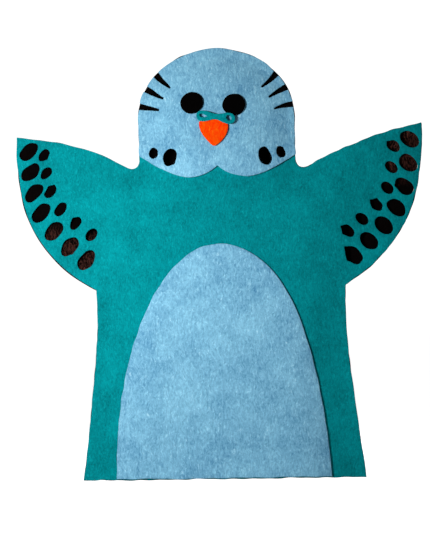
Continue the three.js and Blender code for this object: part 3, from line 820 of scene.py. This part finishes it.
LARGE_SPOT = np.array([6.0, 4.05]) * MM
SMALL_SPOT = np.array([4.0, 2.8]) * MM
SPOT_ROWS = {  # spot size, how many, first from the tip, step, inset at the tip, inset at the armpit
    "large": (LARGE_SPOT, 7, 9.1 * MM, 13.6 * MM, 7 * MM, 11 * MM),
    "small": (SMALL_SPOT, 6, 13.3 * MM, 13.8 * MM, 16.2 * MM, 23.6 * MM),
}
SPOT_SLIDE = {-1: (-2.2 * MM, -3.2 * MM), 1: (1.2 * MM, 0.3 * MM)}  # of the large and the small row
NICKS = {  # side, row, place in the row from the tip: where the scissors left a corner, in degrees
    (-1, "small", 0): (310,),
    (-1, "small", 2): (60, 120),
    (-1, "small", 4): (120,),
    (-1, "large", 5): (300,),
    (1, "small", 0): (140,),
    (1, "large", 2): (185,),
    (1, "small", 3): (140, 70),
    (1, "small", 5): (150, 215),
    (1, "large", 6): (140, 220),
}


def wing_holes(side):
    """The holes of one wing as cut loops."""
    loops = []
    for row, slide in zip(SPOT_ROWS, SPOT_SLIDE[side]):
        for k, (centre, long, short, tilt) in enumerate(spot_row(*SPOT_ROWS[row], slide)):
            seed = 100 * (side + 2) + 10 * (row == "small") + k
            nicks = NICKS.get((side, row, k), ())
            tilt = tilt if side > 0 else 180 - tilt
            hole = snipped(centre * [side, 1], long, short, tilt, seed, nicks)
            loops.append((cut_by_hand(hole, WING_SEED["front"]), np.ones(len(hole), bool)))
    return loops


print("spots on a wing:", len(wing_holes(1)))

# %% [markdown]
# ### Cutting the panels
# Each panel becomes a torso, a neck and two wings. The torso rides its own body, and the others are
# baked in place between the torso and the head or a wing.
# %% Cut the two panels


def flat_layer(x, z):
    """No lift: the sheet lies on the pocket itself."""
    return 0 * x


def attached(piece, bodies, slot, *nodes):
    """Lets a piece ride one body, or bakes in place a piece that spans two bodies, and hides the imported
    nodes it replaces.
    """
    if isinstance(bodies, str):
        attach(piece, bodies)
    elif bodies[1] == "head":
        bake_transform(piece)
    else:
        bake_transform(piece)
    if nodes:
        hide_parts(*nodes)
    return piece


def side_name(side):
    """The name of a side, as seen from the front."""
    return "left" if side < 0 else "right"


pieces = {}
for face, felt_name, material, slot in ((-1, "front", TEAL, "teal_felt"), (1, "back", BLACK, "black_felt")):
    seed = WING_SEED[felt_name]
    torso_loops = [outline(*torso_plan, seed=seed)]
    torso = felt_sheet(f"{felt_name}_torso_felt", torso_loops, face, flat_layer, material)
    attached(torso, "torso", slot, f"{felt_name}_torso")
    plan = teal_neck_plan if face < 0 else black_head_plan
    neck = felt_sheet(f"{felt_name}_neck_felt", [outline(*plan, seed=seed)], face, flat_layer, material)
    nodes = [f"{felt_name}_neck_bend"] + (["back_head"] if face > 0 else [])
    attached(neck, ("torso", "head"), slot, *nodes)
    pieces[felt_name, "torso"], pieces[felt_name, "neck"] = torso, neck
    for side in (-1, 1):
        name = side_name(side)
        plan = wing_right if side > 0 else left_of(wing_right)
        holes = wing_holes(side) if face < 0 else []
        wing = felt_sheet(
            f"{name}_{felt_name}_wing_felt",
            [outline(*plan, seed=seed), *holes],
            face,
            flat_layer,
            TEAL if face < 0 else WING_BLACK,
        )
        nodes = (f"{name}_{felt_name}_wing", f"{name}_{felt_name}_wing_bend")
        attached(wing, ("torso", f"{name}_wing"), slot, *nodes)
        pieces[felt_name, name] = wing
print("faces of the two panels:", sum(len(p.data.polygons) for p in pieces.values()))

# %% [markdown]
# ## The head panel
# The head is a light blue sheet with two round cheeks at the bottom, four cheek spots and three thin
# wedges cut in from each side of the crown. It is a layer further out where it lies on the teal felt.
# The wedges open at the edge, so they are part of the outline rather than holes in it.
# %% Stripes in the outline
STRIPE_ANGLES = 9.2 + 13.6 * np.arange(3)
STRIPE_SLOPES = 12 + 16 * np.arange(3)
STRIPE_DEPTHS = np.array([0, 3, 6, 9, 11.5]) * MM
STRIPE_WIDTHS = np.array([1.85, 1.65, 1.3, 0.9, 0.55]) * MM  # half widths at those depths


def dome_with_stripes(side):
    """The dome from the head's side to the crown. Each stripe replaces the edge between its two sides
    by a way in and out: its half width shrinks from root to point."""
    rng = np.random.default_rng(40 + side)
    parts, start = [], 0.0
    for angle, slope in zip(np.radians(STRIPE_ANGLES), np.radians(STRIPE_SLOPES)):
        reach = 1 / np.hypot(np.cos(angle) / HEAD_HALF, np.sin(angle) / DOME_HEIGHT)
        root = DOME_MIDDLE + reach * np.array([np.cos(angle), np.sin(angle)])
        out = np.array([np.cos(slope), np.sin(slope)])
        across = np.array([-out[1], out[0]])
        bow = rng.uniform(-0.5, 0.5) * MM
        bent = bow * np.sin(STRIPE_DEPTHS / STRIPE_DEPTHS[-1] * np.pi)
        middles = root - out * STRIPE_DEPTHS[:, None] + across * bent[:, None]
        to_side = across * STRIPE_WIDTHS[:, None]
        lower, upper = middles - to_side, middles + to_side
        ends = []
        for corner in (lower[0], upper[0]):
            ray = corner - DOME_MIDDLE
            ends.append(np.degrees(np.arctan2(ray[1] / DOME_HEIGHT, ray[0] / HEAD_HALF)))
        parts.append(arc(DOME_MIDDLE, (HEAD_HALF, DOME_HEIGHT), start, ends[0]))
        parts += [lower[1:], upper[1:][::-1]]
        start = ends[1]
    parts.append(arc(DOME_MIDDLE, (HEAD_HALF, DOME_HEIGHT), start, 90))
    return np.vstack(parts)


head_rest = cut_at(half["head_side"], CHEEK_CORNER, np.array([0, 1]))[1]
right_head = np.vstack([cheek_edge(0), head_rest[1:], dome_with_stripes(1)[1:]])
left_head = np.vstack([cheek_edge(0), head_rest[1:], dome_with_stripes(-1)[1:]])
head_outline = np.vstack([right_head, mirrored(left_head)[1:-1]])
print("head outline in mm:", np.round(np.ptp(head_outline, axis=0) / MM, 1))

# %% [markdown]
# ### Cheek spots
# Two holes in each cheek show the black felt behind it. They are snipped like the wing spots, but
# stand nearly upright.
# %% Cheek spots and the head itself
CHEEK_SPOTS = [  # from the head's side, above the notch, half length, half width, tilt
    (17.4, 6.7, 5.2, 3.6, 71),
    (8.2, 8.8, 3.15, 2.5, 73),
]
HEAD_SEED = 5
cheek_holes = []
for side in (-1, 1):
    for k, (from_side, rise, long, short, tilt) in enumerate(CHEEK_SPOTS):
        centre = np.array([side * (HEAD_HALF - from_side * MM), NECK_Z + rise * MM])
        tilt = 180 - tilt if side > 0 else tilt
        nicks = {(1, 1): (55, 130), (-1, 0): (310,)}.get((side, k), ())
        hole = snipped(centre, long * MM, short * MM, tilt, 60 + side + 2 * k, nicks)
        cheek_holes.append((cut_by_hand(hole, HEAD_SEED), np.ones(len(hole), bool)))

head_felt = felt_sheet(
    "head_felt",
    [closed(head_outline, HEAD_SEED, 0.6 * MM), *cheek_holes],
    -1,
    lambda x, z: head_lift(z),
    LIGHT_BLUE,
)
attached(head_felt, ("torso", "head"), "light_blue_felt", "head_panel")
print("faces of the head:", len(head_felt.data.polygons))

# %% [markdown]
# ## The belly panel
# A tall half oval lies on the teal panel and ends just above the hem. Its right side was cut flatter
# than its left, so that side is drawn in by a soft hill halfway up.
# %% Belly
belly_low, belly_high = corners("belly_panel")
belly_size = (belly_high[0], belly_high[2] - belly_low[2])
belly_curve = arc((0, belly_low[2]), belly_size, 0, 180)
FLATTER = 2.2 * MM
hill = bump((belly_curve[:, 1] + 10 * MM) / (110 * MM))
belly_curve[:, 0] -= FLATTER * hill * smooth(belly_curve[:, 0] / (30 * MM))
BELLY_SEED = 7
belly_plan = [(bezier(belly_curve[-1], belly_curve[0]), True), (belly_curve, True)]
belly_felt = felt_sheet(
    "belly_felt", [outline(*belly_plan, seed=BELLY_SEED)], -1, lambda x, z: LAYER + 0 * x, LIGHT_BLUE
)
attached(belly_felt, "torso", "light_blue_felt", "belly_panel")
print("belly in mm:", np.round(np.array(belly_size) / MM, 1))

# %% [markdown]
# ## The face
# The eyes are two punched discs, the beak is a small shield, and the cere is a teal strip with a
# round lobe and a nostril at each end. The cere lies over the eyes and the beak. All of them are
# sheets like the large ones, only finer.
# %% Eyes
EYE_STRETCH = (1.03, 0.965)  # a punched disc pulled a little oval, turned by 12 degrees


def on_head(layers):
    """A lift of so many layers above the head panel."""
    return lambda x, z: head_lift(z) + layers * LAYER


def turned(points, tilt, centre):
    """Turns points by tilt degrees and moves them to the centre."""
    angle = np.radians(tilt)
    return points @ np.array([[np.cos(angle), np.sin(angle)], [-np.sin(angle), np.cos(angle)]]) + centre


for side in (-1, 1):
    name = side_name(side) + "_eye"
    low, high = corners(name)
    radius = (high[0] - low[0]) / 2
    disc = arc((0, 0), (radius * EYE_STRETCH[0], radius * EYE_STRETCH[1]), 0, 360)[:-1]
    eye = felt_sheet(
        name + "_felt",
        [closed(turned(disc, 12, plan_middle(name)), 20 + side, 0.5 * MM, 0.09 * MM)],
        -1,
        on_head(1),
        EYE_BLACK,
        step=1.5 * MM,
    )
    attached(eye, "head", "black_felt", name)
    print(name, "radius in mm:", round(radius / MM, 2))

# %% [markdown]
# ### Beak
# Half the shield is drawn as four short curves from its hidden top edge to its tip and mirrored, and
# then the whole is sheared, because the real one was cut out a little crooked.
# %% Beak
BEAK_SLANT = -0.09  # the left side sits a little higher than the right
beak_low, beak_high = corners("beak")
beak_tip = np.array([(beak_low[0] + beak_high[0]) / 2 + 0.25 * MM, beak_low[2]])
beak_side = np.vstack([
    bezier((0, 16.6), (4.6, 15.3), (7.4, 13.8)),
    bezier((7.4, 13.8), (8.45, 13.2), (8.35, 12.0))[1:],
    bezier((8.35, 12.0), (8.1, 6.0), (1.5, 0.5))[1:],
    bezier((1.5, 0.5), (0.9, 0.0), (0, 0.0))[1:],
]) * MM
beak_outline = np.vstack([beak_side, mirrored(beak_side)[1:-1]])
beak_outline = beak_tip + beak_outline + beak_outline[:, :1] * [0, BEAK_SLANT]
beak = felt_sheet(
    "beak_felt", [closed(beak_outline, 31, 0.5 * MM)], -1, on_head(1), ORANGE, step=1.5 * MM
)
attached(beak, "head", "orange_felt", "beak")
print("beak tip in mm:", np.round(beak_tip / MM, 1))

# %% [markdown]
# ### Cere
# The strip is thin in the middle and ends in two round lobes. It was glued on last, with a tilt, and
# each nostril was snipped by itself, so the two don't match.
# %% Cere
CERE_TILT = -6.5
CERE_LOBE = 2.95 * MM
CERE_HALF = 8.0 * MM  # from the middle to the middle of a lobe
lobe = arc((CERE_HALF, 0), (CERE_LOBE, CERE_LOBE), -98, 96)
lower = bezier((0, -1.1 * MM), (2.6 * MM, -1.1 * MM), (3.6 * MM, -3.0 * MM), lobe[0])
upper = bezier(lobe[-1], (4.6 * MM, 2.9 * MM), (3.2 * MM, 1.9 * MM), (0, 1.9 * MM))
cere_right = np.vstack([lower, lobe[1:], upper[1:]])
cere_outline = np.vstack([cere_right, mirrored(cere_right)[1:-1]])
cere_middle = plan_middle("cere")


def nostril(x, z, long, short, tilt, taper):
    """An oval hole in the cere, narrower towards its right end by the taper."""
    hole = snipped((0, 0), long, short, 0, 50 + int(x > 0))
    hole[:, 1] *= 1 - taper * hole[:, 0] / long
    return closed(turned(turned(hole, tilt, (x, z)), CERE_TILT, cere_middle), 33, 0.3 * MM)


nostrils = [
    nostril(-7.2 * MM, 0.15 * MM, 2.2 * MM, 0.85 * MM, -7, 0.35),
    nostril(7.5 * MM, 0.3 * MM, 1.55 * MM, 1.25 * MM, -35, 0),
]
cere = felt_sheet(
    "cere_felt",
    [closed(turned(cere_outline, CERE_TILT, cere_middle), 33, 0.45 * MM), *nostrils],
    -1,
    on_head(2),
    TEAL,
    step=1.2 * MM,
    edge=0.25 * MM,
)
attached(cere, "head", "teal_felt", "cere")
print("cere in mm:", np.round(np.ptp(cere_outline, axis=0) / MM, 1))

# %% [markdown]
# ## Glue
# A bead of craft glue runs between the panels just inside their edge. It shows only as a dull line
# from the side. A bead is a flattened oval swept along the seam, thicker here and thinner there. Its
# milky colour and small lumps come from one noise.
# %% Glue
GLUE = bpy.data.materials.new("clear glue")
GLUE.use_nodes = True
glue_tree = GLUE.node_tree
glue_shader = glue_tree.nodes["Principled BSDF"]
glue_shader.inputs["Roughness"].default_value = 0.35
glue_place = node(glue_tree, "ShaderNodeTexCoord").outputs["Object"]
glue_cloud_inputs = [("Vector", glue_place), ("Scale", 350.0), ("Detail", 3.0)]
glue_cloud = node(glue_tree, "ShaderNodeTexNoise", glue_cloud_inputs)
glue_tree.links.new(
    colour_mix(glue_tree, glue_cloud.outputs["Fac"], (0.42, 0.4, 0.34, 1), (0.62, 0.6, 0.54, 1)),
    glue_shader.inputs["Base Color"],
)
glue_relief = node(glue_tree, "ShaderNodeBump", [("Strength", 0.4), ("Distance", 0.1 * MM),
                   ("Height", glue_cloud.outputs["Fac"])])
glue_tree.links.new(glue_relief.outputs[0], glue_shader.inputs["Normal"])
print("glue nodes:", len(glue_tree.nodes))

# %% [markdown]
# ### Beads along the seam
# Long beads hold the sides, the wings and the cheeks. Where the panels bend, a thinner bead fills the
# seam, so that no light shows through it.
# %% A closed tube


def tube(name, x, y, z, material):
    """A closed tube from rows of points: each row is joined to the next, and both ends are capped."""
    vertices = np.column_stack([x.ravel(), y.ravel(), z.ravel()])
    index = np.arange(x.size).reshape(x.shape)
    a, b = index[:-1], np.roll(index, -1, 1)[:-1]
    c, d = np.roll(index, -1, 1)[1:], index[1:]
    faces = np.stack([a, b, c, d], -1).reshape(-1, 4).tolist()
    faces += [index[0][::-1].tolist(), index[-1].tolist()]
    return mesh_object(name, vertices, faces, material)

# %% One glue bead


def glue_bead(name, path, width, inset, seed):
    """An oval section, half width w and half height h, carried along the path and inset from the edge.
    Both sizes vary a little along it, and the two ends close to a point."""
    rng = np.random.default_rng(seed)
    path = spaced(path, 1.2 * MM)
    ahead = np.gradient(path, axis=0)
    ahead /= np.linalg.norm(ahead, axis=1, keepdims=True)
    into = np.column_stack([-ahead[:, 1], ahead[:, 0]])
    t = np.linspace(0, 1, len(path))
    taper = np.clip(np.minimum(t, 1 - t) * len(path) / 3, 0.02, 1) ** 0.5
    wander = 1 + 0.12 * np.sin(2 * np.pi * (t * len(path) / 11 + rng.random()))
    middle_line = path + into * (inset + width / 2)
    angle = np.linspace(0, 2 * np.pi, 10, endpoint=False)
    half_width = (width / 2 * taper * wander)[:, None]
    x = middle_line[:, :1] + into[:, :1] * half_width * np.cos(angle)
    z = middle_line[:, 1:] + into[:, 1:] * half_width * np.cos(angle)
    room = SEAM_HALF_GAP - 0.05 * MM
    y = room * taper[:, None] * np.sin(angle) + 0 * x
    return tube(name, x, y, z, GLUE)

# %% Lay the beads
WIDE_BEAD, THIN_BEAD = 3 * MM, 0.9 * MM
beads = []
for side in (-1, 1):
    name = side_name(side)
    wing = f"{name}_wing"
    flank = np.vstack([half["flare"], half["side"][1:]])
    flank_low, flank_high = cut_at(flank, at_root(-BEND_HALF, WAIST[1]), ROOT_OUT)
    edge_near, edge_far = cut_at(half["wing_edge"], at_root(BEND_HALF, ARMPIT[1]), ROOT_OUT)
    top_far, top_near = cut_at(half["wing_top"], at_root(BEND_HALF, NECK_Z), ROOT_OUT)
    cheek_low, cheek_high = cut_at(half["head_side"], np.array([0, NECK_BEND[1]]), np.array([0, 1]))
    for part, path, width, bodies, nodes in (
        ("side", flank_low[2:], WIDE_BEAD, "torso", [f"{name}_side_glue"]),
        ("wing", np.vstack([edge_far, top_far[1:]])[2:-2], THIN_BEAD, wing, [f"{name}_wing_glue"]),
        ("cheek", cheek_high, WIDE_BEAD, "head", [f"{name}_cheek_glue"]),
        ("armpit", np.vstack([flank_high, edge_near[1:]]), THIN_BEAD, ("torso", wing), []),
        ("shoulder", np.vstack([top_near, notch_wing[1:]]), THIN_BEAD, ("torso", wing), []),
        ("neck", np.vstack([notch_head, cheek_low[1:]]), THIN_BEAD, ("torso", "head"), []),
    ):
        path = cut_by_hand(path if side > 0 else mirrored(path), WING_SEED["front"])
        bead = glue_bead(f"{name}_{part}_bead", path, width, 0.7 * MM, 70 + side)
        beads.append(attached(bead, bodies, "glue", *nodes))
crown = arc(DOME_MIDDLE, (HEAD_HALF, DOME_HEIGHT), 50, 130)
crown_bead = glue_bead("crown_bead", crown, WIDE_BEAD, 0.9 * MM, 77)
beads.append(attached(crown_bead, "head", "glue", "crown_glue"))
print("glue beads:", len(beads))

# %% [markdown]
# ## Stray fibres
# Scissors pull a few single fibres out of a cut edge. Each is a thin bent thread with its foot in the
# edge. Felt could be furred all over, but at arm's length only the longest few can be seen.
# %% A few long fibres
FIBRE_HALF = 0.07 * MM


def stray_fibre(name, foot, tip, bend, y, material):
    """A three-sided thread from foot to tip, pulled sideways by bend, that gets thinner to its end."""
    foot, tip = np.array(foot) * MM, np.array(tip) * MM
    away = (tip - foot) @ np.array([[0, 1], [-1, 0]])
    path = bezier(foot, (foot + tip) / 2 + bend * away, tip, steps=9)
    ahead = np.gradient(path, axis=0)
    ahead /= np.linalg.norm(ahead, axis=1, keepdims=True)
    angle = np.radians([0, 120, 240])
    thick = (FIBRE_HALF * np.linspace(1, 0.5, len(path)))[:, None]
    x = path[:, :1] - ahead[:, 1:] * thick * np.cos(angle)
    z = path[:, 1:] + ahead[:, :1] * thick * np.cos(angle)
    return tube(name, x, y + thick * np.sin(angle), z, material)


STRAYS = (  # foot and tip in mm, pull to the side, felt, slot
    ((-69.5, 1.2), (-66.4, -1.0), 0.3, TEAL, "teal_felt"),
    ((-31.0, 0.6), (-25.6, -0.9), 0.15, BLACK, "black_felt"),
    ((66.3, 0.4), (66.9, -1.3), -0.2, TEAL, "teal_felt"),
    ((-71.9, 52.5), (-74.1, 54.6), 0.35, LIGHT_BLUE, "light_blue_felt"),
)
for k, (foot, tip, bend, material, slot) in enumerate(STRAYS):
    fibre = stray_fibre(f"stray_fibre_{k}", foot, tip, bend, -SEAM_HALF_GAP - FELT / 2, material)
    attached(fibre, "torso", slot)

# %% [markdown]


# %% [markdown]
# ## Floor
# The floor is plain and pale, and just below the lowest fibre. To the camera it glows white, so that
# no horizon shows behind the puppet, but it sends almost no light of its own onto the felt.
# %% Floor
FLOOR_Z = cad_low[2] - 1.6 * MM
FLOOR_REACH = 6.0


def glow(tree, bounced, seen):
    """One strength for the light that bounces onto things and another for what the camera sees."""
    rays = node(tree, "ShaderNodeLightPath")
    return ramp(tree, rays.outputs["Is Camera Ray"], 0.0, 1.0, bounced, seen)


floor_corners = [(x * FLOOR_REACH, y * FLOOR_REACH, FLOOR_Z) for x, y in ((-1, -1), (1, -1), (1, 1), (-1, 1))]
floor_mesh = bpy.data.meshes.new("floor")
floor_mesh.from_pydata(floor_corners, [], [(0, 1, 2, 3)])
floor = bpy.data.objects.new("floor", floor_mesh)
bpy.context.scene.collection.objects.link(floor)
pale = bpy.data.materials.new("pale_floor")
pale.use_nodes = True
pale_shader = pale.node_tree.nodes["Principled BSDF"]
pale_shader.inputs["Base Color"].default_value = (0.6, 0.6, 0.6, 1)
pale_shader.inputs["Roughness"].default_value = 0.9
pale_shader.inputs["Emission Color"].default_value = (1, 1, 1, 1)
pale.node_tree.links.new(glow(pale.node_tree, 0.05, 1.0), pale_shader.inputs["Emission Strength"])
floor_mesh.materials.append(pale)
floor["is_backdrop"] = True
print("floor in mm:", round(FLOOR_Z / MM, 1))

# %% [markdown]
# ## Surround and lamps
# The main light is a small soft panel above and to the left, so close that it falls off across the
# puppet. A white surround shows behind it and lights it only faintly, which keeps the shadows at the
# edges deep, and a large panel behind the puppet lights its back.
# %% Surround and lamps
world = bpy.data.worlds.new("surround")
bpy.context.scene.world = world
world.use_nodes = True
surround = world.node_tree.nodes["Background"]
world.node_tree.links.new(glow(world.node_tree, 0.02, 1.1), surround.inputs["Strength"])
surround.inputs["Color"].default_value = (1, 1, 1, 1)


def soft_panel(name, size, power, place, aim, spread=180):
    """A square lamp of so many watts at a place, turned towards the aim. A smaller spread, in degrees,
    keeps its light together."""
    data = bpy.data.lights.new(name, "AREA")
    data.size = size
    data.energy = power
    data.spread = np.radians(spread)
    lamp = bpy.data.objects.new(name, data)
    lamp.location = place
    facing = Vector(np.array(aim) - np.array(lamp.location))
    lamp.rotation_euler = facing.to_track_quat("-Z", "Y").to_euler()
    bpy.context.scene.collection.objects.link(lamp)


soft_panel("soft panel", 0.07, 0.69, (-0.19, -0.32, 0.20), (-0.03, 0, 0.11), spread=125)
soft_panel("back panel", 0.5, 5, (0.3, 0.7, 0.5), (0, 0, 0.12))
bpy.context.scene.view_settings.view_transform = "Standard"

# %% [markdown]
# ## Sizes
# The box of these finer sheets is printed here, and that of the imported model at the start. They may
# differ only by the rounding of the edges and the wandering of the cuts.
# %% Print the size of the finished puppet
low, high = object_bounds()
print("box of the finished puppet in mm:", np.round((np.array(high) - np.array(low)) / MM, 1))
